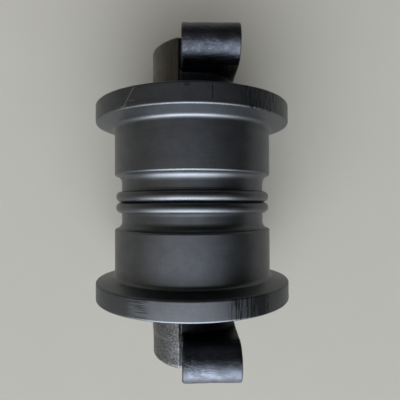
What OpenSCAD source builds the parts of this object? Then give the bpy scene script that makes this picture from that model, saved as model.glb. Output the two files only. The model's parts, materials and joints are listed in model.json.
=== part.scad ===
// Track roller: a two-flange roller shell that turns on a fixed shaft held by two cast collars.
// The shaft lies along Y, the collars' mounting faces look along +X, and +Z is up.
// The origin is on the shaft's axis, midway between the two flanges.

/* [Roller shell] */
// Outside diameter of the two flanges
flange_d = 190; // [184:1:200]
// Diameter of the two treads that the track links run on
tread_d = 154.2; // [150:0.2:158]
// Length of the shell from one end face to the other
shell_length = 186.4; // [184:0.2:192]
// Width of each flange's rim, rounded edges included
rim_width = 18; // [16:0.5:20]
// Radius of the rounded flange edges
rim_round = 1.8; // [1:0.1:2.5]
// Diameter of the relief groove between the treads
groove_d = 140.6; // [136:0.2:144]
// Distance from the weld to the start of the concave step up to the tread
groove_half_width = 18.6; // [17:0.1:22]
// Radius of the concave step between groove and tread
step_radius = 7.3; // [6:0.1:8]
// Radius of each curl of weld flash beside the weld
flash_radius = 5.2; // [3:0.1:6]

/* [Shaft and bushings] */
// Diameter of the shaft
shaft_d = 60; // [56:1:62]
// Distance that the shaft's ends lie below the collars' outer faces
shaft_recess = 2; // [0.5:0.5:4]
// Radial running clearance between bushing and shaft
running_gap = 0.06; // [0.02:0.01:0.1]
// Wall thickness of the bushings
bushing_wall = 4.44; // [3:0.1:5]
// Length of each bushing's sleeve under its flange
bushing_length = 38; // [30:1:40]
// Thickness of the bushing's thrust flange
thrust_flange = 4.5; // [3:0.5:5]

/* [Collars] */
// Distance from the centre to each collar's outer end face
collar_end = 150; // [146:1:156]
// Distance from the shaft's axis to the mounting faces
mount_height = 40.5; // [38:0.5:46]
// Distance from the shaft's axis to the bolt heads' seats, on the other side
seat_depth = 9.5; // [6:0.1:12]
// Radius of the hub's cast outline
hub_radius = 50.5; // [48:0.5:52]
// Distance of the hub's round outline from the shaft's axis, towards the mounting faces
hub_shift = 11; // [9:0.5:13]
// Diameter of the neck in the pocket between the pad and the seal housing
neck_d = 86; // [82:1:88]
// Diameter of the seal housing that runs inside the shell's end recess
housing_d = 120; // [118:1:122]

/* [Bolt pattern] */
// Distance between the bolt holes along the shaft
bolt_spacing_long = 272; // [270:1:280]
// Distance between the bolt holes across the shaft
bolt_spacing_cross = 119; // [116:1:124]
// Diameter of the clearance holes for M18 bolts
bolt_hole_d = 19.5; // [18.5:0.5:21]
// Diameter of the cast bosses round the bolt holes
boss_d = 35; // [32:0.5:38]

/* [Seals] */
// Distance from the centre to the plane where the two metal seal rings meet
seal_plane = 84; // [83:0.1:84.5]
// Gap between the shell's and the collar's seal housings
housing_gap = 2.2; // [1.5:0.1:3]
// Gap left between the two lapped seal faces
face_gap = 0.3; // [0.2:0.05:0.5]
// Bore radius of the seal housings at their mouths
seal_bore_r = 51.5; // [51:0.1:52]
// Slope of the seal ramps, radial over axial
ramp_slope = 0.28; // [0.2:0.01:0.3]

/* [Pins and plug] */
// Diameter of the lock pins
pin_d = 12; // [10:1:14]
// Distance of the lock pins below the shaft's axis
pin_offset = 24; // [22:0.5:24]
// Diameter of the oil plug's threaded body
plug_d = 18; // [16:1:20]
// Width across flats of the plug's hexagon socket
plug_hex = 8; // [6:1:10]

/* [Hidden] */
$fn = 96;
over = 1;                  // how far a cutting tool runs past the surface it opens
squeeze = 0.03;            // interference of press fits and of rubber against metal
slip = 0.02;               // clearance of the shaft in the collars

shell_end = shell_length / 2;
flange_r = flange_d / 2;
tread_r = tread_d / 2;
groove_r = groove_d / 2;
rim_inner = shell_end - rim_width;
flange_fillet = 4.2;       // between tread and flange
flange_draft = 3;          // the flange's inner face leans outwards by this much
step_turn = 78;            // angle through which the step's arc rises from the groove
tread_chamfer = 1;

shaft_r = shaft_d / 2;
shaft_end = collar_end - shaft_recess;
bushing_bore = shaft_r + running_gap;
bushing_r = bushing_bore + bushing_wall;
thrust_r = 42;             // radius of the bushing's flange
reservoir_r = 41;          // oil space between the bushings

// Seal stack, measured from the centre outwards on one side.
shell_mouth = seal_plane - housing_gap / 2;
mouth_depth = 3.2;         // straight part of each seal housing
ramp_length = 10;
ramp_foot = shell_mouth - mouth_depth - ramp_length;
ramp_foot_r = seal_bore_r - ramp_slope * ramp_length;
recess_r = housing_d / 2 + 3;
seal_ring_bore = 38.5;
seal_ring_cone = 44;       // radius of the ring's ramp where it meets its flange
seal_ring_flange = 49.3;
toric_at = 8.8;            // distance of each rubber ring from the seal plane
ring_back = shell_mouth - mouth_depth;
ring_tail = ramp_foot + 1.5;

// Bushings and the collars' noses that the thrust flanges run against.
thrust_face = ramp_foot - 2.3;
flange_seat = thrust_face - thrust_flange;
sleeve_start = flange_seat - bushing_length;
nose_gap = 0.4;
nose_r = 36.5;
nose_start = thrust_face + nose_gap;

// Collar.
housing_r = housing_d / 2;
housing_back = 104;
hub_start = housing_back - 2;
hub_round = 3;
neck_r = neck_d / 2;
neck_drop = 0.5;           // the neck's flat lies this far below the mounting face
boss_r = boss_d / 2;
boss_chamfer = 2;
bolt_y = bolt_spacing_long / 2;
bolt_z = bolt_spacing_cross / 2;
pad_start = bolt_y - boss_r;
spot_face_r = 16;
spot_face_depth = 0.8;
head_room = 14;            // the spot-facing tool clears the hub this far for the bolt's head
oring_y = 112;
oring_groove = 4.4;
oring_groove_r = shaft_r + 3;
oring_section = 1.5;

// Lock pins, parallel to X under the shaft's axis.
pin_r = pin_d / 2;
pin_y = 135;
pin_start = -32;
pin_end = 30;
knockout_r = 3.5;

// Oil way: a drilling along the shaft from end A, with two cross drillings to the reservoir.
oilway_r = 4;
oilway_end = -8;
cross_y = 8;
plug_r = plug_d / 2;
plug_length = 16;
plug_head_r = 13;
plug_head = 4;
plug_sink = 8;             // depth of the plug's counterbore in the shaft's end
washer_thick = 1.5;
centre_drill_r = 3.2;

function arc(centre, r, from, to, steps) =
    [for (i = [0:steps]) let (a = from + (to - from) * i / steps) centre + r * [cos(a), sin(a)]];

// Profiles are drawn as [radius, distance along the shaft].
module lathe() {
    rotate([-90, 0, 0]) rotate_extrude() children();
}

module end_a() {
    children();
}

module end_b() {
    mirror([0, 1, 0]) children();
}

// A round bar along X, at the given place along and above the shaft.
module bar_x(r, x0, x1, y = 0, z = 0) {
    translate([x0, y, z]) rotate([0, 90, 0]) cylinder(r = r, h = x1 - x0);
}

module bar_y(r, y0, y1, x = 0, z = 0) {
    translate([x, y0, z]) rotate([-90, 0, 0]) cylinder(r = r, h = y1 - y0);
}

module bead(centre_r, centre_y, r) {
    lathe() translate([centre_r, centre_y]) circle(r = r, $fn = 48);
}

module shell_half() {
    face_angle = atan(flange_draft / (flange_r - tread_r));
    face_start = rim_inner - flange_draft;
    outline = concat(
        [[reservoir_r, 0], [groove_r, 0]],
        arc([groove_r + step_radius, groove_half_width], step_radius, 180, 180 - step_turn, 6),
        [[tread_r, groove_half_width + step_radius + tread_chamfer]],
        arc([tread_r + flange_fillet, face_start - flange_fillet], flange_fillet, 180, 90 + face_angle, 6),
        arc([flange_r - rim_round, rim_inner + rim_round], rim_round, -90, 0, 3),
        arc([flange_r - rim_round, shell_end - rim_round], rim_round, 0, 90, 3),
        [[recess_r + 1, shell_end],
         [recess_r, shell_end - 1],
         [recess_r, shell_mouth],
         [seal_bore_r, shell_mouth],
         [seal_bore_r, shell_mouth - mouth_depth],
         [ramp_foot_r, ramp_foot],
         [thrust_r, ramp_foot],
         [thrust_r, flange_seat],
         [bushing_r - squeeze, flange_seat],
         [bushing_r - squeeze, sleeve_start - 2],
         [reservoir_r, sleeve_start - 5]]);
    lathe() polygon(outline);
    bead(groove_r + 0.3, flash_radius + 0.1, flash_radius);
}

module shell_half_a() {
    color("#3a3c42") end_a() shell_half();
}

module shell_half_b() {
    color("#3a3c42") end_b() shell_half();
}

module bushing() {
    lathe() polygon([
        [bushing_bore + 0.8, sleeve_start],
        [bushing_r - 0.8, sleeve_start],
        [bushing_r, sleeve_start + 1.5],
        [bushing_r, flange_seat],
        [thrust_r - 0.2, flange_seat],
        [thrust_r - 0.2, thrust_face - 0.6],
        [thrust_r - 0.8, thrust_face],
        [bushing_bore + 0.8, thrust_face],
        [bushing_bore, thrust_face - 0.8],
        [bushing_bore, sleeve_start + 0.8]]);
}

module bushing_a() {
    color("#b08a4a") end_a() bushing();
}

module bushing_b() {
    color("#b08a4a") end_b() bushing();
}

module shaft() {
    color("#8c8f94") difference() {
        lathe() polygon([
            [0, -shaft_end],
            [shaft_r - 1.5, -shaft_end],
            [shaft_r, 1.5 - shaft_end],
            [shaft_r, shaft_end - 1.5],
            [shaft_r - 1.5, shaft_end],
            [0, shaft_end]]);
        bar_y(oilway_r, oilway_end, shaft_end + over);
        bar_y(plug_r - squeeze, shaft_end - plug_sink - plug_length - 2, shaft_end + over);
        bar_y(plug_head_r + 1, shaft_end - plug_sink, shaft_end + over);
        bar_y(centre_drill_r, -shaft_end - over, 8 - shaft_end);
        for (y = [-cross_y / 2, cross_y]) bar_x(3, -shaft_r - over, shaft_r + over, y);
        for (side = [-1, 1]) bar_x(pin_r, -shaft_r, shaft_r, side * pin_y, -pin_offset);
    }
}

// The hub is round on the side away from the frame. The pad covers its other side,
// and a pocket between the pad and the seal housing leaves only the neck round the shaft.
module hub() {
    depth = 2 * (hub_radius + over);
    difference() {
        translate([hub_shift, 0, 0]) lathe() polygon(concat(
            [[0, hub_start], [hub_radius, hub_start]],
            arc([hub_radius - hub_round, collar_end - hub_round], hub_round, 0, 90, 3),
            [[0, collar_end]]));
        translate([0, pad_start, -depth / 2]) cube([depth, collar_end, depth]);
        translate([-seat_depth, 0, -depth / 2]) cube([depth, pad_start, depth]);
    }
    difference() {
        intersection() {
            bar_y(neck_r, hub_start, pad_start + over);
            bar_y(hub_radius, hub_start, pad_start + over, x = hub_shift);
        }
        translate([mount_height - neck_drop, 0, -neck_r]) cube([neck_r, collar_end, 2 * neck_r]);
    }
}

module boss(z) {
    translate([0, bolt_y, z]) rotate([0, 90, 0]) rotate_extrude() polygon([
        [0, -seat_depth],
        [boss_r - boss_chamfer, -seat_depth],
        [boss_r, boss_chamfer - seat_depth],
        [boss_r, mount_height - boss_chamfer],
        [boss_r - boss_chamfer, mount_height],
        [0, mount_height]]);
}

module collar() {
    difference() {
        union() {
            lathe() polygon([
                [nose_r - 5, nose_start],
                [nose_r - 1, nose_start],
                [nose_r, nose_start + 1],
                [nose_r, 2 * seal_plane - ramp_foot],
                [ramp_foot_r, 2 * seal_plane - ramp_foot],
                [seal_bore_r, 2 * seal_plane - ring_back],
                [seal_bore_r, 2 * seal_plane - shell_mouth],
                [housing_r - 1, 2 * seal_plane - shell_mouth],
                [housing_r, 2 * seal_plane - shell_mouth + 1],
                [housing_r, housing_back - 2],
                [housing_r - 2, housing_back],
                [nose_r - 5, housing_back]]);
            hub();
            translate([-seat_depth, pad_start, -bolt_z])
                cube([seat_depth + mount_height, collar_end - pad_start, 2 * bolt_z]);
            for (z = [-bolt_z, bolt_z]) boss(z);
        }
        bar_y(shaft_r + slip, nose_start - over, collar_end + over);
        lathe() polygon([
            [0, collar_end - 1.5],
            [shaft_r, collar_end - 1.5],
            [shaft_r + 2.5, collar_end + over],
            [0, collar_end + over]]);
        bar_y(oring_groove_r, oring_y - oring_groove / 2, oring_y + oring_groove / 2);
        for (z = [-bolt_z, bolt_z]) {
            bar_x(bolt_hole_d / 2, -seat_depth - over, mount_height + over, bolt_y, z);
            bar_x(spot_face_r, -seat_depth - head_room, spot_face_depth - seat_depth, bolt_y, z);
        }
        bar_x(pin_r, -hub_radius, pin_end, pin_y, -pin_offset);
        bar_x(knockout_r, 0, mount_height + over, pin_y, -pin_offset);
    }
}

module collar_a() {
    color("#23252a") end_a() collar();
}

module collar_b() {
    color("#23252a") end_b() collar();
}

module lock_pin() {
    translate([0, pin_y, -pin_offset]) rotate([0, 90, 0]) rotate_extrude() polygon([
        [0, pin_start],
        [pin_r - 1, pin_start],
        [pin_r + squeeze, pin_start + 1.5],
        [pin_r + squeeze, pin_end - 1.5],
        [pin_r - 1, pin_end],
        [0, pin_end]]);
}

module lock_pin_a() {
    color("#9aa0a6") end_a() lock_pin();
}

module lock_pin_b() {
    color("#9aa0a6") end_b() lock_pin();
}

module shaft_oring() {
    bead(shaft_r + oring_section, oring_y, oring_section + squeeze);
}

module shaft_oring_a() {
    color("#1c1c1e") end_a() shaft_oring();
}

module shaft_oring_b() {
    color("#1c1c1e") end_b() shaft_oring();
}

// The ring that turns with the shell; the fixed ring is its mirror image across the seal plane.
module seal_ring() {
    lathe() polygon([
        [seal_ring_bore, ring_tail],
        [seal_ring_cone - ramp_slope * (ring_back - ring_tail), ring_tail],
        [seal_ring_cone, ring_back],
        [seal_ring_flange, ring_back],
        [seal_ring_flange, seal_plane - face_gap / 2 - 0.8],
        [seal_ring_flange - 0.8, seal_plane - face_gap / 2],
        [seal_ring_bore + 4, seal_plane - face_gap / 2],
        [seal_ring_bore, seal_plane - face_gap / 2 - 1]]);
}

// The rubber ring rolls between two parallel ramps, so its section fills the gap between them.
module toric() {
    along = seal_plane - toric_at;
    inner_r = seal_ring_cone - ramp_slope * (ring_back - along);
    outer_r = seal_bore_r - ramp_slope * (ring_back - along);
    section = (outer_r - inner_r) / 2 * cos(atan(ramp_slope));
    bead((inner_r + outer_r) / 2, along, section + squeeze);
}

module across_seal_plane() {
    translate([0, 2 * seal_plane, 0]) mirror([0, 1, 0]) children();
}

module turning_seal_ring_a() {
    color("#b9bcc0") end_a() seal_ring();
}

module turning_seal_ring_b() {
    color("#b9bcc0") end_b() seal_ring();
}

module fixed_seal_ring_a() {
    color("#a6a9ae") end_a() across_seal_plane() seal_ring();
}

module fixed_seal_ring_b() {
    color("#a6a9ae") end_b() across_seal_plane() seal_ring();
}

module turning_toric_a() {
    color("#202022") end_a() toric();
}

module turning_toric_b() {
    color("#202022") end_b() toric();
}

module fixed_toric_a() {
    color("#2a2a2d") end_a() across_seal_plane() toric();
}

module fixed_toric_b() {
    color("#2a2a2d") end_b() across_seal_plane() toric();
}

module oil_plug() {
    head_seat = shaft_end - plug_sink + washer_thick;
    color("#6e7277") difference() {
        lathe() polygon([
            [0, head_seat - plug_length],
            [plug_r - 1, head_seat - plug_length],
            [plug_r, head_seat - plug_length + 1],
            [plug_r, head_seat],
            [plug_head_r, head_seat],
            [plug_head_r, head_seat + plug_head - 0.8],
            [plug_head_r - 0.8, head_seat + plug_head],
            [0, head_seat + plug_head]]);
        translate([0, head_seat - 3, 0]) rotate([-90, 0, 0])
            cylinder(r = plug_hex / 2 / cos(30), h = plug_head + 3 + over, $fn = 6);
    }
}

module plug_washer() {
    seat = shaft_end - plug_sink;
    color("#b87333") lathe() polygon([
        [plug_r + 0.3, seat],
        [plug_head_r - 0.5, seat],
        [plug_head_r - 0.5, seat + washer_thick],
        [plug_r + 0.3, seat + washer_thick]]);
}

shell_half_a();
shell_half_b();
shaft();
bushing_a();
bushing_b();
collar_a();
collar_b();
lock_pin_a();
lock_pin_b();
shaft_oring_a();
shaft_oring_b();
turning_seal_ring_a();
turning_seal_ring_b();
fixed_seal_ring_a();
fixed_seal_ring_b();
turning_toric_a();
turning_toric_b();
fixed_toric_a();
fixed_toric_b();
oil_plug();
plug_washer();
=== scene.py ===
import json
import math

import bmesh
import bpy
import numpy as np
from mathutils import Matrix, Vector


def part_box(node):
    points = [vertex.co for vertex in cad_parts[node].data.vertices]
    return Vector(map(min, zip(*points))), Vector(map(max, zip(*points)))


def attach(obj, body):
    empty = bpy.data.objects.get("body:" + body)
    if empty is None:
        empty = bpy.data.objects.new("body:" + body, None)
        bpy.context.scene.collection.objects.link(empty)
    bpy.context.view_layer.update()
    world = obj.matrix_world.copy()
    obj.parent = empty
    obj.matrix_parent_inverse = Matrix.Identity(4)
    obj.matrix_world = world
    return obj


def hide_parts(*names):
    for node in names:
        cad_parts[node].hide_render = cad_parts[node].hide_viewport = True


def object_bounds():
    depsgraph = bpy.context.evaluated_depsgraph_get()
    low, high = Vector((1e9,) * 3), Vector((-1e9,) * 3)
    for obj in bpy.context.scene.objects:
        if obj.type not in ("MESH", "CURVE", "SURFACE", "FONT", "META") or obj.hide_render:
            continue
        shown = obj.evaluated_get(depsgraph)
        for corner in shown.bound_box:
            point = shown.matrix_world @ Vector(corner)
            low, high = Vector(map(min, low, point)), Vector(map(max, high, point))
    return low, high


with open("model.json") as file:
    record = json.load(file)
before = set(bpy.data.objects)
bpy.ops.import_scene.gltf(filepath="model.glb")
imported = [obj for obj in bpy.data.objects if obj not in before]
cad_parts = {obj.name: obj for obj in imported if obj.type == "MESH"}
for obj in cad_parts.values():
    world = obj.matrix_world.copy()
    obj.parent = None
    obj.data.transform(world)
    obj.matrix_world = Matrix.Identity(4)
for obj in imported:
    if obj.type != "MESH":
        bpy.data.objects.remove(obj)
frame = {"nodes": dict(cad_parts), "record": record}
cad_low, cad_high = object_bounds()

# Lengths below are in millimetres, as in the CAD model; MM turns them into metres.
MM = 0.001
PER_METRE = 1 / MM
TAU = 2 * math.pi
DEGREES = 180 / math.pi

# ---------------------------------------------------------------- dimensions

shell_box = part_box("shell_half_a")
collar_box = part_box("collar_a")
shaft_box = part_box("shaft")
bolts = next(m for m in frame["record"]["mounts"] if m["name"] == "frame_bolts")

FLANGE_R = -shell_box[0].x / MM
SHELL_END = shell_box[1].y / MM
SHAFT_R = shaft_box[1].z / MM
SHAFT_END = shaft_box[1].y / MM
MOUNT_X = bolts["pos_m"][0] / MM
BOLT_Y = bolts["dims"]["spacing_x_mm"] / 2
BOLT_Z = bolts["dims"]["spacing_y_mm"] / 2
BOLT_HOLE_R = bolts["dims"]["hole_r_mm"]
BOSS_R = collar_box[1].y / MM - BOLT_Y
HOUSING_R = -collar_box[0].x / MM
NOSE_START = collar_box[0].y / MM
SEAT_X = -9.5

TREAD_R = 77.1
TREAD_FILLET = 4.2
RIM_ROUND = 1.8
GROOVE_R = 70.3
STEP_R = 7.3                      # concave step between groove and tread
FLASH_R = 5.2                     # curl of weld flash
FLASH_CENTRE = (GROOVE_R + 0.3, 5.3)
FLASH_END = 11                    # the waviness of the flash reaches this far from the weld
WELD_GAP = 0.05
FACE_RIM = SHELL_END - 17.6       # where the flange's inner face would meet its rim
FACE_FOOT = FACE_RIM - 4.3        # and where it would meet the tread
RESERVOIR_R = 41
RECESS_R = HOUSING_R + 3
SEAL_PLANE = 84
SHELL_MOUTH = SEAL_PLANE - 1.1
SEAL_BORE_R = 51.5
MOUTH_DEPTH = 3.2                 # straight part of each seal housing
RAMP_FOOT = SHELL_MOUTH - 13.2
RAMP_FOOT_R = 48.7
THRUST_R = 42
FLANGE_SEAT = RAMP_FOOT - 6.8
BUSHING_R = 34.47
SLEEVE_START = FLANGE_SEAT - 38
HUB_X = 11
HUB_R = 50.5
VALLEY = 2.6                      # width of the groove between hub and pad
NECK_R = 43
NECK_FLAT = MOUNT_X - 0.5
HUB_END = 150
PAD_START = BOLT_Y - BOSS_R
HOUSING_BACK = 104
BORE_FACE_R = 37
NOSE_R = 36.5
PIN_R = 6
PIN_Y = 135
PIN_Z = -24
PIN_BORE_END = 30
KNOCK_OUT_R = 3.5                 # hole behind each lock pin
SPOT_FACE_R = 16
SLIP = 0.02                       # clearance of the shaft in the collars
PROUD = 0.9                       # metal left on the casting's mounting face for machining
POCKET_END = 119.5                # end of the pocket between seal housing and pad
SHELL_SEGMENTS = 320
BORE_SEGMENTS = 160
CASTING_STEP = 1.05               # grid spacing of the casting's mesh


# ---------------------------------------------------------------- mesh helpers

def rounded(corners, degrees=10):
    """An outline with each (r, y, radius) corner turned into an arc of that radius."""
    points = []
    count = len(corners)
    for i, (r, y, radius) in enumerate(corners):
        here = np.array([r, y], float)
        if radius <= 0:
            points.append(here)
            continue
        back = np.array(corners[i - 1][:2], float) - here
        ahead = np.array(corners[(i + 1) % count][:2], float) - here
        back /= np.linalg.norm(back)
        ahead /= np.linalg.norm(ahead)
        half = math.acos(np.clip(back @ ahead, -1, 1)) / 2
        middle = here + (back + ahead) / np.linalg.norm(back + ahead) * radius / math.sin(half)
        start = here + back * radius / math.tan(half) - middle
        turn = math.pi - 2 * half
        sign = 1 if back[1] * ahead[0] - back[0] * ahead[1] > 0 else -1
        steps = max(2, round(math.degrees(turn) / degrees))
        for k in range(steps + 1):
            a = sign * turn * k / steps
            points.append(middle + np.array([start[0] * math.cos(a) - start[1] * math.sin(a),
                                             start[0] * math.sin(a) + start[1] * math.cos(a)]))
    return points


def supported(points, longest=6.0, guard=0.35):
    """Extra points along long stretches, the outer ones close to the ends, so that shading stays flat."""
    result = []
    for i, a in enumerate(points):
        b = points[(i + 1) % len(points)]
        length = np.linalg.norm(b - a)
        result.append(a)
        if length > 3 * guard:
            along = [guard / length]
            inner = int((length - 2 * guard) // longest)
            along += [(guard + (length - 2 * guard) * (k + 1) / (inner + 1)) / length for k in range(inner)]
            along.append(1 - guard / length)
            result += [a + (b - a) * t for t in along]
    return result


def finished(name, bm, body, node, sharp):
    """A mesh object from bm, in millimetres, shaded smooth except at edges sharper than that many degrees."""
    bmesh.ops.recalc_face_normals(bm, faces=bm.faces)
    for face in bm.faces:
        face.smooth = True
    for edge in bm.edges:
        edge.smooth = len(edge.link_faces) == 2 and edge.calc_face_angle() < math.radians(sharp)
    mesh = bpy.data.meshes.new(name)
    bm.to_mesh(mesh)
    bm.free()
    mesh.transform(Matrix.Scale(MM, 4))
    piece = bpy.data.objects.new(name, mesh)
    bpy.context.scene.collection.objects.link(piece)
    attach(piece, body)
    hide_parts(node)
    return piece


def turned(points, segments, shift=None):
    """A bmesh of the closed outline turned about the shaft's axis; shift(angle, r, y) moves its points."""
    bm = bmesh.new()
    rings = []
    for i in range(segments):
        angle = TAU * i / segments
        ring = []
        for r, y in points:
            if shift:
                r, y = shift(angle, r, y)
            ring.append(bm.verts.new((r * math.sin(angle), y, r * math.cos(angle))))
        rings.append(ring)
    for i in range(segments):
        now, after = rings[i], rings[(i + 1) % segments]
        for k in range(len(points)):
            m = (k + 1) % len(points)
            bm.faces.new((now[k], now[m], after[m], after[k]))
    return bm


def mirror_across_weld(bm):
    for vert in bm.verts:
        vert.co.y = -vert.co.y
    bmesh.ops.reverse_faces(bm, faces=bm.faces)


# ---------------------------------------------------------------- roller shell

def shell_outline():
    """Half of the shell in section, from the weld outwards over the tread and back through the bore."""
    r, y = FLASH_CENTRE
    flash = [np.array([r + FLASH_R * math.cos(a), y + FLASH_R * math.sin(a)])
             for a in np.radians(np.arange(-84, 94, 7))]
    outer = rounded([
        (GROOVE_R, 12.5, 0),
        (GROOVE_R, 24.5, STEP_R),
        (TREAD_R - 1, 25.8, 0.3),
        (TREAD_R, 26.9, 0.8),
        (TREAD_R, FACE_FOOT, TREAD_FILLET),
        (FLANGE_R, FACE_RIM, RIM_ROUND),
        (FLANGE_R, SHELL_END, RIM_ROUND),
        (RECESS_R + 1, SHELL_END, 0.3),
        (RECESS_R, SHELL_END - 1, 0.3),
        (RECESS_R, SHELL_MOUTH, 0.6),
        (SEAL_BORE_R, SHELL_MOUTH, 0.3),
        (SEAL_BORE_R, SHELL_MOUTH - MOUTH_DEPTH, 0.4),
        (RAMP_FOOT_R, RAMP_FOOT, 0.5),
        (THRUST_R, RAMP_FOOT, 0.3),
        (THRUST_R, FLANGE_SEAT, 0.2),
        (BUSHING_R, FLANGE_SEAT, 0.2),
        (BUSHING_R, SLEEVE_START - 2, 0.2),
        (RESERVOIR_R, SLEEVE_START - 5, 1.5),
        (RESERVOIR_R, WELD_GAP, 0),
        (GROOVE_R - 0.2, WELD_GAP, 0)])
    return supported(flash + outer)


def flash_wave(seed):
    """A function for turned() that makes the curl of weld flash a little uneven round the roller."""
    rng = np.random.default_rng(seed)
    waves = [(n, rng.uniform(0.02, 0.10) / (1 + n / 14), rng.uniform(0, TAU))
             for n in (2, 3, 5, 9, 14, 23)]

    def shift(angle, r, y):
        if r < GROOVE_R + 0.6 or y > FLASH_END:
            return r, y
        lift = min(1, (r - GROOVE_R) / 4)
        wave = sum(a * math.sin(n * angle + p) for n, a, p in waves)
        lean = sum(a * math.cos(n * angle + 1.7 * p) for n, a, p in waves)
        return r + lift * wave, max(0.06, y + 0.6 * lift * lean)
    return shift


def shell_half(name, node, seed, mirror):
    bm = turned(shell_outline(), SHELL_SEGMENTS, flash_wave(seed))
    if mirror:
        mirror_across_weld(bm)
    return finished(name, bm, "shell", node, sharp=50)


# ---------------------------------------------------------------- cast collars

def smooth_union(a, b, blend):
    h = np.clip(0.5 + 0.5 * (b - a) / blend, 0, 1)
    return b + (a - b) * h - blend * h * (1 - h)


def smooth_cut(a, inner, blend):
    """What of a lies where inner is positive."""
    return -smooth_union(-a, inner, blend)


def round_bar(across, along, radius, start, end, edge):
    """Distance to a bar of that radius between start and end, with rounded ends."""
    q = across - (radius - edge)
    p = np.abs(along - (start + end) / 2) - ((end - start) / 2 - edge)
    return np.minimum(np.maximum(q, p), 0) + np.hypot(np.maximum(q, 0), np.maximum(p, 0)) - edge


def round_box(x, y, z, low, high, edge):
    parts = [np.abs(v - (a + b) / 2) - ((b - a) / 2 - edge) for v, a, b in zip((x, y, z), low, high)]
    outside = np.sqrt(sum(np.maximum(q, 0) ** 2 for q in parts))
    return outside + np.minimum(np.maximum.reduce(parts), 0) - edge


def casting_lumps(seed):
    """Slow, shallow unevenness of a sand casting: sine waves in random directions."""
    rng = np.random.default_rng(seed)
    waves = []
    for length, height in [(34, 0.10), (21, 0.08), (13, 0.05), (8, 0.04), (5.5, 0.03)]:
        for _ in range(4):
            direction = rng.normal(size=3)
            direction *= TAU / length / np.linalg.norm(direction)
            waves.append((direction, height / 2, rng.uniform(0, TAU)))

    def lumps(x, y, z):
        return sum(h * np.sin(d[0] * x + d[1] * y + d[2] * z + p) for d, h, p in waves)
    return lumps


def casting(seed):
    """Signed distance to the collar's rough casting, before machining."""
    lumps = casting_lumps(seed)
    face = MOUNT_X + PROUD

    def distance(x, y, z):
        hub = round_bar(np.hypot(x - HUB_X, z), y, HUB_R, HOUSING_BACK - 6, HUB_END, 3.2)
        hub = smooth_cut(hub, np.minimum(np.maximum(SEAT_X - x, y - PAD_START - 3), -x), 4.0)
        valley = np.minimum(x - SEAT_X + VALLEY, np.abs(z) - 41)
        hub = smooth_cut(hub, -valley, 1.2)
        neck = round_bar(np.hypot(x, z), y, NECK_R, HOUSING_BACK - 6, PAD_START + 6, 1.0)
        inside_hub = HUB_R - 0.5 - np.hypot(x - HUB_X, z)
        neck = smooth_cut(neck, np.minimum(NECK_FLAT - x, inside_hub), 1.5)
        pad = round_box(x, y, z, (SEAT_X, PAD_START, -BOLT_Z), (face, HUB_END, BOLT_Z), 2.0)
        for side in (-1, 1):
            across = np.hypot(y - BOLT_Y, z - side * BOLT_Z)
            boss = round_bar(across, x, BOSS_R - 0.35, SEAT_X, face, 2.4)
            pad = smooth_union(pad, boss, 1.0)
        housing = round_bar(np.hypot(x, z), y, HOUSING_R, SEAL_PLANE - 1, HOUSING_BACK, 1.6)
        body = smooth_union(smooth_union(hub, pad, 1.6), neck, 3.0)
        body = smooth_union(body, housing, 4.0)
        return body + lumps(x, y, z) * np.clip((y - 106) / 6, 0, 1)
    return distance


def contoured(distance, low, high, step):
    """A mesh of the surface where distance is zero: (places, quads).

    These are surface nets: one point in each cell that the surface crosses, drawn onto the
    surface, and one quad for each edge of the grid that crosses it.
    """
    axes = [np.arange(a, b + step, step) for a, b in zip(low, high)]
    grid = np.meshgrid(*axes, indexing="ij")
    value = distance(*grid)
    inside = value < 0
    cells = tuple(n - 1 for n in value.shape)
    total = np.zeros(cells + (3,))
    hits = np.zeros(cells)
    corners = [(i, j, k) for i in (0, 1) for j in (0, 1) for k in (0, 1)]

    def corner(array, c):
        return array[c[0]:c[0] + cells[0], c[1]:c[1] + cells[1], c[2]:c[2] + cells[2]]

    for a in corners:
        for b in corners:
            if sum(b) - sum(a) != 1 or min(b[n] - a[n] for n in range(3)) < 0:
                continue
            va, vb = corner(value, a), corner(value, b)
            crossed = (va < 0) != (vb < 0)
            t = np.where(crossed, va / np.where(va == vb, 1, va - vb), 0)
            for n in range(3):
                total[..., n] += crossed * (a[n] + (b[n] - a[n]) * t)
            hits += crossed
    used = hits > 0
    number = np.full(cells, -1)
    number[used] = np.arange(used.sum())
    places = np.argwhere(used) + total[used] / hits[used][:, None]
    places = np.array([axis[0] for axis in axes]) + places * step

    quads = []
    for n in range(3):
        u, v = (n + 1) % 3, (n + 2) % 3
        near = np.moveaxis(inside, n, 0)
        flip = np.moveaxis(near[:-1] != near[1:], 0, n)
        edges = np.argwhere(flip)
        keep = (edges[:, u] > 0) & (edges[:, v] > 0)
        keep &= (edges[:, u] < cells[u]) & (edges[:, v] < cells[v])
        edges = edges[keep]
        du, dv = np.eye(3, dtype=int)[u], np.eye(3, dtype=int)[v]
        ring = [edges - du - dv, edges - dv, edges, edges - du]
        quad = np.stack([number[tuple(c.T)] for c in ring], 1)
        starts_inside = inside[tuple(edges.T)]
        quad[~starts_inside] = quad[~starts_inside][:, ::-1]
        quads.append(quad)
    return drawn_onto(distance, places), np.concatenate(quads)


def slope(distance, places):
    """The gradient of distance at each place."""
    reach = 0.2
    parts = []
    for n in range(3):
        shift = np.zeros(3)
        shift[n] = reach
        parts.append(distance(*(places + shift).T) - distance(*(places - shift).T))
    return np.stack(parts, 1) / (2 * reach)


def drawn_onto(distance, places):
    """The places moved onto the surface by three steps of Newton's method."""
    for _ in range(3):
        rise = slope(distance, places)
        steepness = np.maximum((rise ** 2).sum(1), 0.05)
        places = places - rise * (distance(*places.T) / steepness)[:, None]
    return places


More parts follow.
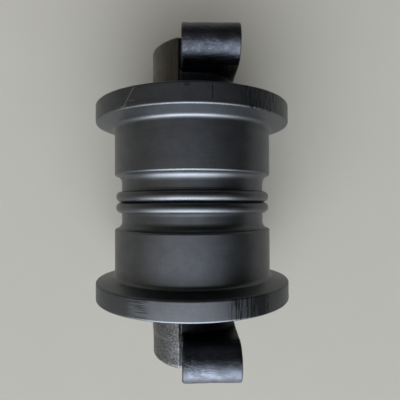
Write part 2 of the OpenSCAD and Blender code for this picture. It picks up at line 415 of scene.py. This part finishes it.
def cut_away(piece, cutter):
    """The cutter's solid is taken out of the piece's mesh; both are in millimetres."""
    mesh = bpy.data.meshes.new("cutter")
    bmesh.ops.recalc_face_normals(cutter, faces=cutter.faces)
    cutter.to_mesh(mesh)
    cutter.free()
    tool = bpy.data.objects.new("cutter", mesh)
    bpy.context.scene.collection.objects.link(tool)
    boolean = piece.modifiers.new("cut", "BOOLEAN")
    boolean.operation = "DIFFERENCE"
    boolean.solver = "EXACT"
    boolean.object = tool
    bpy.context.view_layer.update()
    evaluated = piece.evaluated_get(bpy.context.evaluated_depsgraph_get())
    result = bpy.data.meshes.new_from_object(evaluated)
    piece.modifiers.clear()
    old = piece.data
    piece.data = result
    bpy.data.meshes.remove(old)
    bpy.data.objects.remove(tool)
    bpy.data.meshes.remove(mesh)


def drill(points, segments=96, axis="y", at=(0, 0, 0)):
    """A turned cutter: the outline is [radius, distance along the axis] and meets the axis at both ends."""
    bm = bmesh.new()
    rings = []
    for r, along in points:
        ring = []
        for i in range(segments if r > 0 else 1):
            a = TAU * i / segments
            u, v = r * math.cos(a), r * math.sin(a)
            place = (along + at[0], u + at[1], v + at[2])
            if axis == "y":
                place = (u + at[0], along + at[1], v + at[2])
            ring.append(bm.verts.new(place))
        rings.append(ring)
    for a, b in zip(rings, rings[1:]):
        for i in range(segments):
            j = (i + 1) % segments
            if len(a) == 1:
                bm.faces.new((a[0], b[i], b[j]))
            elif len(b) == 1:
                bm.faces.new((a[i], a[j], b[0]))
            else:
                bm.faces.new((a[i], a[j], b[j], b[i]))
    return bm


def block(low, high):
    bm = bmesh.new()
    bmesh.ops.create_cube(bm, size=1)
    for vert in bm.verts:
        vert.co = [(a + b) / 2 + c * (b - a) for a, b, c in zip(low, high, vert.co)]
    return bm


def machining():
    """Every cut that turns the casting into a collar."""
    far = 20
    side = BOLT_Z + BOSS_R + far
    yield block((MOUNT_X, HOUSING_BACK + 2, -side), (MOUNT_X + far, HUB_END + far, side))
    for z in (-BOLT_Z, BOLT_Z):
        yield drill([(0, SEAT_X - far), (SPOT_FACE_R - 2.2, SEAT_X - far),
                     (SPOT_FACE_R - 2.2, SEAT_X - VALLEY), (SPOT_FACE_R, SEAT_X - VALLEY),
                     (SPOT_FACE_R, SEAT_X + 0.5),
                     (SPOT_FACE_R - 0.3, SEAT_X + 0.8), (BOLT_HOLE_R + 1, SEAT_X + 0.8),
                     (BOLT_HOLE_R, SEAT_X + 1.8), (BOLT_HOLE_R, MOUNT_X - 1),
                     (BOLT_HOLE_R + 1.2, MOUNT_X + 0.2), (BOLT_HOLE_R + 1.2, MOUNT_X + far),
                     (0, MOUNT_X + far)], axis="x", at=(0, BOLT_Y, z))
    foot = 2 * SEAL_PLANE - RAMP_FOOT
    mouth = 2 * SEAL_PLANE - SHELL_MOUTH
    yield drill([(0, SEAL_PLANE - far), (HOUSING_R + far, SEAL_PLANE - far), (HOUSING_R + far, mouth),
                 (SEAL_BORE_R, mouth), (SEAL_BORE_R, mouth + MOUTH_DEPTH), (RAMP_FOOT_R, foot),
                 (NOSE_R, foot), (0, foot)], segments=BORE_SEGMENTS)
    yield drill([(0, foot - far), (SHAFT_R + SLIP, foot - far), (SHAFT_R + SLIP, HUB_END - 1.9),
                 (SHAFT_R + 1.6, HUB_END - 0.4), (BORE_FACE_R - 0.3, HUB_END - 0.4),
                 (BORE_FACE_R, HUB_END + far), (0, HUB_END + far)], segments=BORE_SEGMENTS)
    pin_mouth = [(0, -HUB_R - far), (PIN_R + 0.6, -HUB_R - far), (PIN_R, -31.5)]
    yield drill(pin_mouth + [(PIN_R, PIN_BORE_END), (0, PIN_BORE_END)],
                segments=48, axis="x", at=(0, PIN_Y, PIN_Z))
    mouth_r = KNOCK_OUT_R + 0.9
    knock_out_end = [(mouth_r, MOUNT_X + 0.3), (mouth_r, MOUNT_X + far), (0, MOUNT_X + far)]
    yield drill([(0, 0), (KNOCK_OUT_R, 0), (KNOCK_OUT_R, MOUNT_X - 0.6)] + knock_out_end,
                segments=48, axis="x", at=(0, PIN_Y, PIN_Z))


def nose():
    """The collar's bored nose, which the bushing's thrust flange runs against."""
    foot = 2 * SEAL_PLANE - RAMP_FOOT
    return turned(supported(rounded([
        (SHAFT_R + SLIP, NOSE_START, 0.8), (NOSE_R, NOSE_START, 1.0),
        (NOSE_R, foot + 0.3, 0), (SHAFT_R + SLIP, foot + 0.3, 0)])), BORE_SEGMENTS)


def collar(name, node, seed, mirror):
    margin = 3
    low = (-HOUSING_R - margin, SEAL_PLANE - 4, -BOLT_Z - BOSS_R - margin)
    high = (HOUSING_R + margin, BOLT_Y + BOSS_R + margin, BOLT_Z + BOSS_R + margin)
    places, quads = contoured(casting(seed), low, high, CASTING_STEP)
    mesh = bpy.data.meshes.new(name)
    mesh.from_pydata(places.tolist(), [], quads.tolist())
    piece = bpy.data.objects.new(name, mesh)
    bpy.context.scene.collection.objects.link(piece)
    for cutter in machining():
        cut_away(piece, cutter)
    bm = bmesh.new()
    bm.from_mesh(piece.data)
    bpy.data.objects.remove(piece)
    bmesh.ops.remove_doubles(bm, verts=bm.verts, dist=0.01)
    bmesh.ops.dissolve_degenerate(bm, dist=0.001, edges=bm.edges)
    open_edges = [edge for edge in bm.edges if len(edge.link_faces) == 1]
    bmesh.ops.holes_fill(bm, edges=open_edges, sides=8)
    ring = bpy.data.meshes.new("nose")
    front = nose()
    bmesh.ops.recalc_face_normals(front, faces=front.faces)
    front.to_mesh(ring)
    front.free()
    bm.from_mesh(ring)
    if mirror:
        mirror_across_weld(bm)
    return finished(name, bm, "frame_side", node, sharp=32)


# ---------------------------------------------------------------- materials

class Nodes:
    """A short way to write a node tree."""

    def __init__(self, owner):
        owner.use_nodes = True
        self.owner = owner
        self.tree = owner.node_tree
        self.shader = self.tree.nodes.get("Principled BSDF")

    def add(self, kind, inputs=None, **settings):
        made = self.tree.nodes.new(kind)
        for key, value in settings.items():
            setattr(made, key, value)
        for key, value in (inputs or {}).items():
            self.put(made.inputs[key], value)
        return made

    def put(self, socket, value):
        if isinstance(value, bpy.types.NodeSocket):
            self.tree.links.new(value, socket)
        elif isinstance(value, bpy.types.Node):
            self.tree.links.new(value.outputs[0], socket)
        else:
            socket.default_value = value

    def math(self, operation, *values):
        made = self.add("ShaderNodeMath", operation=operation)
        for socket, value in zip(made.inputs, values):
            self.put(socket, value)
        return made.outputs[0]

    def ramp(self, value, low, high, to_low=0.0, to_high=1.0, smooth=True):
        made = self.add("ShaderNodeMapRange", {"Value": value, "From Min": low, "From Max": high,
                                               "To Min": to_low, "To Max": to_high})
        made.interpolation_type = "SMOOTHSTEP" if smooth else "LINEAR"
        return made.outputs[0]

    def curve(self, value, stops):
        """The value passed through straight lines between the stops, each an (input, output) pair."""
        (first, _), (last, _) = stops[0], stops[-1]
        peak = max(height for _, height in stops)
        made = self.add("ShaderNodeValToRGB", {0: self.ramp(value, first, last, smooth=False)})
        elements = made.color_ramp.elements
        while len(elements) < len(stops):
            elements.new(0.5)
        for element, (at, height) in zip(elements, stops):
            element.position = (at - first) / (last - first)
            element.color = (height / peak,) * 3 + (1.0,)
        return self.math("MULTIPLY", made, peak)

    def scaled(self, colour, factor):
        made = self.add("ShaderNodeVectorMath", {0: colour}, operation="SCALE")
        self.put(made.inputs["Scale"], factor)
        return made.outputs[0]

    def sum(self, a, b):
        return self.add("ShaderNodeVectorMath", {0: a, 1: b}, operation="ADD").outputs[0]

    def mix(self, factor, a, b):
        made = self.add("ShaderNodeMix", data_type="RGBA")
        self.put(made.inputs["Factor"], factor)
        self.put(made.inputs[6], a)
        self.put(made.inputs[7], b)
        return made.outputs[2]

    def less(self, value):
        """One minus the value."""
        return self.math("SUBTRACT", 1.0, value)

    def product(self, first, *others):
        for other in others:
            first = self.math("MULTIPLY", first, other)
        return first

    def most(self, a, b):
        return self.math("MAXIMUM", a, b)

    def window(self, value, low, high, soft):
        """One where the value is between low and high, fading out over soft beyond them."""
        return self.product(self.ramp(value, low - soft, low), self.ramp(value, high + soft, high))

    def line(self, u, v, start, end, width):
        """One along the straight line from start to end, where u and v are the coordinates."""
        lean = (end[0] - start[0]) / (end[1] - start[1])
        on_line = self.math("ADD", self.math("MULTIPLY", v, lean), start[0] - lean * start[1])
        off = self.math("SUBTRACT", u, on_line)
        if abs(lean) > 1:
            off = self.math("MULTIPLY", off, 1 / lean)
        across = self.ramp(self.math("ABSOLUTE", off), width * 1.6, width * 0.6)
        low, high = sorted((start[1], end[1]))
        return self.product(across, self.window(v, low, high, 0.3))

    def noise(self, vector, scale, detail=3.0, rough=0.5, distortion=0.0):
        made = self.add("ShaderNodeTexNoise", {"Vector": vector, "Scale": scale, "Detail": detail,
                                               "Roughness": rough, "Distortion": distortion})
        return made.outputs[0]

    def set(self, **values):
        for key, value in values.items():
            self.put(self.shader.inputs[key.replace("_", " ")], value)

    def bump(self, height, distance, strength=1.0, normal=None):
        made = self.add("ShaderNodeBump", {"Height": height, "Distance": distance, "Strength": strength})
        if normal:
            self.put(made.inputs["Normal"], normal)
        return made.outputs[0]

    def round_coordinates(self):
        """Where a point is: (place, x, distance along the shaft, radius, angle round it), in metres."""
        place = self.place()
        x, y, z = self.add("ShaderNodeSeparateXYZ", {0: place}).outputs
        squares = self.math("ADD", self.math("MULTIPLY", x, x), self.math("MULTIPLY", z, z))
        return place, x, y, self.math("SQRT", squares), self.math("ARCTAN2", x, z)

    def place(self):
        return self.add("ShaderNodeTexCoord").outputs["Object"]

    def millimetres(self, value):
        return self.math("MULTIPLY", value, PER_METRE)

    def vector(self, x, y, z):
        return self.add("ShaderNodeCombineXYZ", {0: x, 1: y, 2: z}).outputs[0]


def grey(value, tint=(1, 1, 1)):
    return tuple(value * t for t in tint) + (1.0,)


def shell_paint():
    """Thin satin paint over turned steel: it shines like dark metal, with faint turning lines."""
    n = Nodes(bpy.data.materials.new("shell_paint"))
    place, _, y, radius, angle = n.round_coordinates()
    along = n.millimetres(y)
    out = n.millimetres(radius)
    turn = n.math("MULTIPLY", angle, DEGREES)
    turning = n.noise(n.vector(n.math("MULTIPLY", along, 1.7), n.math("MULTIPLY", out, 1.7),
                               n.math("MULTIPLY", angle, 1.6)), 1.0, 3.0, 0.6)
    speckle = n.noise(place, 1100.0, 3.0, 0.6)
    mottle = n.noise(place, 70.0, 5.0, 0.6)
    graphite = (0.95, 0.99, 1.05)
    base = n.mix(n.ramp(mottle, 0.3, 0.7), grey(0.090, graphite), grey(0.106, graphite))
    base = n.scaled(base, n.ramp(turning, 0.3, 0.7, 0.93, 1.06, smooth=False))
    base = n.scaled(base, n.ramp(speckle, 0.3, 0.7, 0.90, 1.08, smooth=False))

    # Darker marks and patches on the rims, placed by the distance along the shaft and the degrees round it:
    # streaks, smears, gaps and chips, plus painted shade over the whole upper rim, the lower rim's sides and
    # the shell's end faces.
    rim = n.ramp(out, FLANGE_R - 0.9, FLANGE_R - 0.3)
    upper = n.product(n.window(along, 74.0, 93.5, 0.5), rim)
    lower = n.product(n.window(along, -93.5, -76.0, 0.5), rim)
    lengthwise = n.vector(n.math("MULTIPLY", angle, 62.0), n.math("MULTIPLY", along, 0.06), 0.5)
    axial = n.noise(lengthwise, 1.0, 3.0, 0.65)
    crosswise = n.vector(n.math("MULTIPLY", angle, 7.0), n.math("MULTIPLY", along, 0.9), 8.5)
    smear = n.noise(crosswise, 1.0, 3.0, 0.6)
    streaks = n.ramp(axial, 0.44, 0.56)
    smears = n.ramp(smear, 0.46, 0.58)
    gaps = n.ramp(smear, 0.36, 0.5)
    edge = n.ramp(out, FLANGE_R - 2.0, FLANGE_R - 1.2)
    chipped = n.ramp(axial, 0.5, 0.56)
    shaded_end_faces = n.ramp(n.math("ABSOLUTE", along), SHELL_END - 0.4, SHELL_END - 0.1)
    marks_and_shade = [
        (upper, n.window(turn, 27.0, 56.0, 8.0), streaks, 0.6),
        (lower, n.window(turn, 20.0, 40.0, 4.0), streaks, 0.8),
        (lower, n.window(turn, 34.0, 38.0, 3.0), 0.7),
        # This entry and the one for -80 to -35 degrees make the lower rim darker towards both sides: painted
        # shade.
        (lower, n.window(turn, 34.0, 80.0, 4.0), 0.24),
        (lower, n.window(turn, -33.5, -24.0, 4.0), smears, 0.55),
        (lower, n.window(turn, -80.0, -35.0, 3.0), 0.26),
        (rim, n.window(along, 80.0, 91.0, 2.0), n.window(turn, 9.2, 9.4, 0.4), gaps, 0.8),
        (rim, n.window(along, 89.0, 91.0, 0.6), n.window(turn, -3.5, -1.5, 0.8), 0.6),
        (edge, n.window(along, 74.6, 77.4, 0.3), n.window(turn, 30.0, 46.0, 2.0), chipped, 0.9),
        # The shell's end faces, which face the collars, are 60 percent darker: painted shade between the
        # parts.
        (shaded_end_faces, 0.6)]
    # The whole upper rim starts 22 percent darker than the lower: painted shade.
    dark = n.product(upper, 0.22)
    for mark in marks_and_shade:
        dark = n.most(dark, n.product(*mark))
    base = n.scaled(base, n.less(dark))

    # One long thin scratch through the paint on the left of the upper rim, and three short ones across it.
    scratch = n.line(turn, along, (-28.5, 93.0), (-36.5, 76.5), 0.15)
    short_scratches = [((-39.0, 78.0), (-33.5, 76.0)), ((-38.0, 76.2), (-34.0, 78.6)),
                       ((-32.5, 81.5), (-29.5, 80.8))]
    for start, end in short_scratches:
        scratch = n.most(scratch, n.line(turn, along, start, end, 0.12))
    base = n.mix(scratch, base, grey(0.065, (1.12, 0.95, 0.72)))

    rough = n.ramp(turning, 0.3, 0.7, 0.38, 0.42, smooth=False)
    rough = n.math("ADD", rough, n.math("MULTIPLY", dark, 0.12))
    n.set(Base_Color=base, Metallic=n.less(scratch), Roughness=rough)
    normal = n.bump(turning, 0.0000012, 1.0)
    normal = n.bump(speckle, 0.000002, 1.0, normal)
    n.put(n.shader.inputs["Normal"], normal)
    return n.owner


def collar_paint():
    """Glossy paint over a sand casting: crinkled on bosses, grainy on the hub, rougher in the pocket, where
    painted shade darkens it.
    """
    n = Nodes(bpy.data.materials.new("collar_paint"))
    place, x, y, _, angle = n.round_coordinates()
    x = n.millimetres(x)
    along = n.millimetres(n.math("ABSOLUTE", y))
    coarse = n.noise(place, 110.0, 4.0, 0.6, 0.4)
    grain = n.noise(place, 620.0, 3.0, 0.65)
    crinkle = n.noise(place, 620.0, 3.0, 0.65, 1.0)
    fine = n.noise(place, 2200.0, 3.0, 0.6)
    lengthwise = n.vector(n.math("MULTIPLY", angle, 26.0), n.math("MULTIPLY", along, 0.03), 2.0)
    drawn = n.noise(lengthwise, 1.0, 3.0, 0.6)
    hub = n.product(n.ramp(x, SEAT_X - 0.2, SEAT_X - 1.5), n.window(along, 109.0, HUB_END - 2.0, 1.5))
    off_hub = n.less(hub)
    rough_end = n.ramp(y, 0.02, -0.02)      # end A's hub was dressed smooth, the other was left as cast
    pocket = n.product(n.ramp(along, POCKET_END, POCKET_END - 2.0), off_hub)
    bluish, warm = (0.90, 0.98, 1.15), (1.05, 0.99, 0.88)
    base = n.mix(n.ramp(coarse, 0.35, 0.7), grey(0.048, bluish), grey(0.078, bluish))
    dressed_hub = n.mix(n.ramp(drawn, 0.3, 0.7), grey(0.060, warm), grey(0.084, warm))
    cast_hub = n.mix(n.ramp(grain, 0.38, 0.62), grey(0.055), grey(0.15))
    base = n.mix(hub, base, n.mix(rough_end, dressed_hub, cast_hub))
    # The pocket's colour is darkened by up to three quarters: painted shade in the recess between seal
    # housing and pad.
    base = n.scaled(base, n.less(n.math("MULTIPLY", pocket, 0.75)))
    rough = n.ramp(coarse, 0.3, 0.7, 0.17, 0.25, smooth=False)
    rough = n.math("ADD", rough, n.math("MULTIPLY", n.most(pocket, hub), 0.2))
    n.set(Base_Color=base, Metallic=0.97, Roughness=rough)
    normal = n.bump(coarse, 0.00010, 1.0)
    normal = n.bump(crinkle, 0.0006, off_hub, normal)
    normal = n.bump(grain, 0.00030, n.product(hub, n.most(rough_end, 0.12)), normal)
    normal = n.bump(fine, 0.00003, 1.0, normal)
    n.put(n.shader.inputs["Normal"], normal)
    return n.owner


def turned_metal(name, colour, rough, painted_from=None):
    """Bare turned or ground metal: fine lines round its axis, a little stain, paint beyond painted_from."""
    n = Nodes(bpy.data.materials.new(name))
    place, _, y, radius, angle = n.round_coordinates()
    along = n.math("MULTIPLY", y, 4000.0)
    out = n.math("MULTIPLY", radius, 4000.0)
    turning = n.noise(n.vector(along, out, n.math("MULTIPLY", angle, 2.0)), 1.0, 3.0, 0.6)
    stain = n.noise(place, 90.0, 5.0, 0.6)
    darker = tuple(c * 0.6 for c in colour) + (1.0,)
    base = n.mix(n.ramp(stain, 0.35, 0.75), tuple(colour) + (1.0,), darker)
    if painted_from:
        painted = n.ramp(n.math("ABSOLUTE", y), painted_from * MM, (painted_from + 0.5) * MM)
        bluish = (0.95, 0.99, 1.08)
        paint = n.mix(stain, grey(0.06, bluish), grey(0.10, bluish))
        base = n.mix(painted, base, paint)
    roughness = n.ramp(stain, 0.3, 0.7, rough - 0.06, rough + 0.08, smooth=False)
    n.set(Base_Color=base, Metallic=1.0, Roughness=roughness)
    n.put(n.shader.inputs["Normal"], n.bump(turning, 0.00003, 0.6))
    return n.owner


def rubber():
    n = Nodes(bpy.data.materials.new("seal_rubber"))
    place = n.place()
    bloom = n.noise(place, 120.0, 4.0, 0.6)
    skin = n.noise(place, 1500.0, 3.0, 0.6)
    n.set(Base_Color=n.mix(n.ramp(bloom, 0.4, 0.7), grey(0.012), grey(0.035)),
          Roughness=n.ramp(bloom, 0.3, 0.7, 0.55, 0.75, smooth=False), Specular_IOR_Level=0.4)
    n.put(n.shader.inputs["Normal"], n.bump(skin, 0.00004, 0.5))
    return n.owner


def floor_paint():
    n = Nodes(bpy.data.materials.new("floor"))
    cloud = n.noise(n.place(), 9.0, 4.0, 0.6)
    warm = (1, 0.935, 0.79)
    n.set(Base_Color=n.mix(cloud, grey(0.285, warm), grey(0.305, warm)), Roughness=0.85)
    return n.owner


MATERIALS = {
    "shell_paint": shell_paint(),
    "collar_paint": collar_paint(),
    "shaft_steel": turned_metal("shaft_steel", (0.30, 0.31, 0.33), 0.34, painted_from=SHAFT_END - 0.5),
    "bushing_bronze": turned_metal("bushing_bronze", (0.62, 0.43, 0.22), 0.38),
    "pin_steel": turned_metal("pin_steel", (0.34, 0.35, 0.37), 0.32),
    "seal_iron": turned_metal("seal_iron", (0.4, 0.41, 0.43), 0.22),
    "plug_steel": turned_metal("plug_steel", (0.32, 0.33, 0.35), 0.4),
    "washer_copper": turned_metal("washer_copper", (0.6, 0.32, 0.2), 0.36),
    "seal_rubber": rubber()}


# ---------------------------------------------------------------- the object

rebuilt = {
    "shell_half_a": shell_half("roller_shell_a", "shell_half_a", 3, False),
    "shell_half_b": shell_half("roller_shell_b", "shell_half_b", 8, True),
    "collar_a": collar("end_collar_a", "collar_a", 21, False),
    "collar_b": collar("end_collar_b", "collar_b", 34, True)}
for part in frame["record"]["subparts"]:
    piece = rebuilt.get(part["node"]) or frame["nodes"][part["node"]]
    piece.data.materials.clear()
    piece.data.materials.append(MATERIALS[part["material_slot"]])


# ---------------------------------------------------------------- stage, light and camera

def plain_floor():
    bm = bmesh.new()
    bmesh.ops.create_grid(bm, x_segments=4, y_segments=4, size=20.0)
    mesh = bpy.data.meshes.new("floor")
    bm.to_mesh(mesh)
    bm.free()
    floor = bpy.data.objects.new("floor", mesh)
    floor.location.z = cad_low.z
    bpy.context.scene.collection.objects.link(floor)
    mesh.materials.append(floor_paint())


def soft_sky():
    """Soft light, strongest low down at -Y and weak elsewhere, darker on the right than on the left."""
    world = bpy.data.worlds.new("sky")
    bpy.context.scene.world = world
    n = Nodes(world)
    direction = n.add("ShaderNodeTexCoord").outputs["Generated"]
    x, y, z = n.add("ShaderNodeSeparateXYZ", {0: direction}).outputs
    lean = n.math("MULTIPLY", n.math("ARCTAN2", n.math("MULTIPLY", y, -1.0), z), DEGREES)
    across = n.math("MULTIPLY", n.math("ARCSINE", x), DEGREES)

    # The bright part of the sky, by the angle that the direction leans from straight up towards -Y.
    bright = n.curve(lean, [(-12, 0.0), (-4, 0.2), (4, 0.7), (12, 1.1), (20, 1.4), (30, 2.4), (38, 5.0),
                            (48, 9.0), (60, 12.0), (75, 12.5), (88, 9.0), (100, 4.0), (120, 2.0)])
    spread = n.math("MULTIPLY", n.ramp(across, -68.0, -8.0), n.ramp(across, 54.0, 2.0))
    bright = n.math("MULTIPLY", bright, spread)

    # The rest: warm and dim on the left, dimmer on the right and behind.
    dim = n.curve(across, [(-90, 0.34), (-55, 0.38), (-20, 0.18), (0, 0.06),
                           (30, 0.05), (60, 0.03), (90, 0.01)])
    dim = n.math("MULTIPLY", dim, n.ramp(lean, -28.0, 4.0, 0.5, 1.0))
    total = n.sum(n.scaled((0.93, 1.0, 1.10), bright), n.scaled((1.12, 1.0, 0.86), dim))

    backdrop = (0.41, 0.41, 0.39, 1.0)      # what the camera itself sees beyond the floor
    seen = n.add("ShaderNodeLightPath").outputs["Is Camera Ray"]
    background = n.tree.nodes["Background"]
    n.put(background.inputs["Color"], n.mix(seen, total, backdrop))


def photo_camera():
    """Straight above the roller, with the wide lens of a hand-held phone."""
    place = (-1.14, -1.22, 374.8)           # the last is the height above the shaft's axis
    pitch, yaw, roll = (math.radians(a) for a in (-0.526, 1.349, 0.182))
    lens = bpy.data.cameras.new("camera")
    lens.sensor_width = 36
    lens.lens = 33.06
    lens.clip_start = 0.01
    camera = bpy.data.objects.new("camera", lens)
    turn = Matrix.Rotation(-yaw, 4, "Y") @ Matrix.Rotation(-pitch, 4, "X")
    turn = turn @ Matrix.Rotation(-roll, 4, "Z")
    camera.matrix_world = Matrix.Translation([v * MM for v in place]) @ turn
    bpy.context.scene.collection.objects.link(camera)
    bpy.context.scene.camera = camera


plain_floor()
soft_sky()
photo_camera()
bpy.context.scene.view_settings.view_transform = "Standard"
